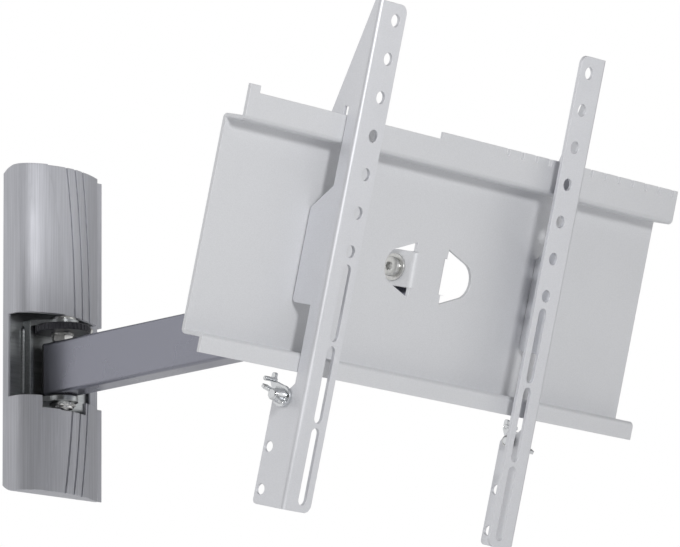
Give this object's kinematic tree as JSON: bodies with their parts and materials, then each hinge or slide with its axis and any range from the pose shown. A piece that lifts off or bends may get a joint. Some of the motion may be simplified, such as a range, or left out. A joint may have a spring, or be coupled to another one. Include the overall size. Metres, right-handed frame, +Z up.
{
  "type": "tv wall mount",
  "caption": "Wall mount with a moulded cover, one swivelling arm, a tilting face panel and two sliding brackets for a television.",
  "frame": {"origin": "middle of the wall plate's back face, on the wall", "axes": "+Z up, +Y into the wall, the arm reaches out along -Y, +X to the right seen from the room"},
  "size_m": [0.4439, 0.4662, 0.3202],
  "materials": {
    "silver_paint": "satin",
    "bracket_paint": "satin",
    "arm_paint": "satin",
    "cover_plastic": "satin",
    "zinc_plate": "satin",
    "bright_steel": "satin",
    "latch_chrome": "gloss",
    "black_steel": "satin",
    "black_nylon": "matte"
  },
  "bodies": {
    "wall": {"wall_plate": "zinc_plate", "wall_cover": "cover_plastic", "pivot_bracket": "zinc_plate", "bearing_ring": "black_steel", "ring_screw": "bright_steel", "ring_washer": "bright_steel", "ring_nut": "bright_steel", "wall_bolt": "bright_steel", "wall_lock_nut": "bright_steel", "wall_glide": "black_nylon"},
    "arm": {"arm_tube": "arm_paint", "arm_cap_wall": "black_nylon", "arm_cap_head": "black_nylon", "arm_bush_wall": "black_nylon", "arm_bush_head": "black_nylon"},
    "head": {"head_yoke": "arm_paint", "head_bolt": "bright_steel", "head_lock_nut": "bright_steel", "head_glide_top": "black_nylon", "head_glide_bottom": "black_nylon"},
    "face": {"face_panel": "silver_paint", "tilt_bolt": "bright_steel", "tilt_washer_left": "bright_steel", "tilt_washer_right": "bright_steel", "tilt_lock_nut": "bright_steel"},
    "bracket_left": {"bracket_left": "bracket_paint"},
    "latch_left": {"latch_hook_left": "latch_chrome", "latch_screw_left": "latch_chrome", "latch_knob_left": "latch_chrome", "latch_nut_left": "bright_steel", "thumb_pin_left": "latch_chrome"},
    "bracket_right": {"bracket_right": "bracket_paint"},
    "latch_right": {"latch_hook_right": "latch_chrome", "latch_screw_right": "latch_chrome", "latch_knob_right": "latch_chrome", "latch_nut_right": "bright_steel", "thumb_pin_right": "latch_chrome"}
  },
  "joints": [
    {"name": "arm_swivel", "type": "hinge", "parent": "wall", "child": "arm", "pos_m": [-0.007, -0.022, -0.029], "axis": [0, 0, 1], "range_deg": [-85, 85]},
    {"name": "head_swivel", "type": "hinge", "parent": "arm", "child": "head", "pos_m": [-0.007, -0.336, -0.029], "axis": [0, 0, -1], "range_deg": [-73, 87]},
    {"name": "face_tilt", "type": "hinge", "parent": "head", "child": "face", "pos_m": [-0.00304, -0.36826, -0.011], "axis": [0.9925, 0.1219, 0], "range_deg": [-20, 0]},
    {"name": "bracket_slide_left", "type": "slide", "parent": "face", "child": "bracket_left", "axis": [0.9925, 0.1219, 0], "range_m": [-0.09, 0.06]},
    {"name": "bracket_slide_right", "type": "slide", "parent": "face", "child": "bracket_right", "axis": [0.9925, 0.1219, 0], "range_m": [-0.06, 0.11]},
    {"name": "latch_turn_left", "type": "hinge", "parent": "bracket_left", "child": "latch_left", "pos_m": [-0.12871, -0.38272, -0.11116], "axis": [-0.9925, -0.1219, 0], "range_deg": [-35, 60]},
    {"name": "latch_turn_right", "type": "hinge", "parent": "bracket_right", "child": "latch_right", "pos_m": [0.10255, -0.35433, -0.11116], "axis": [-0.9925, -0.1219, 0], "range_deg": [-35, 60]}
  ]
}
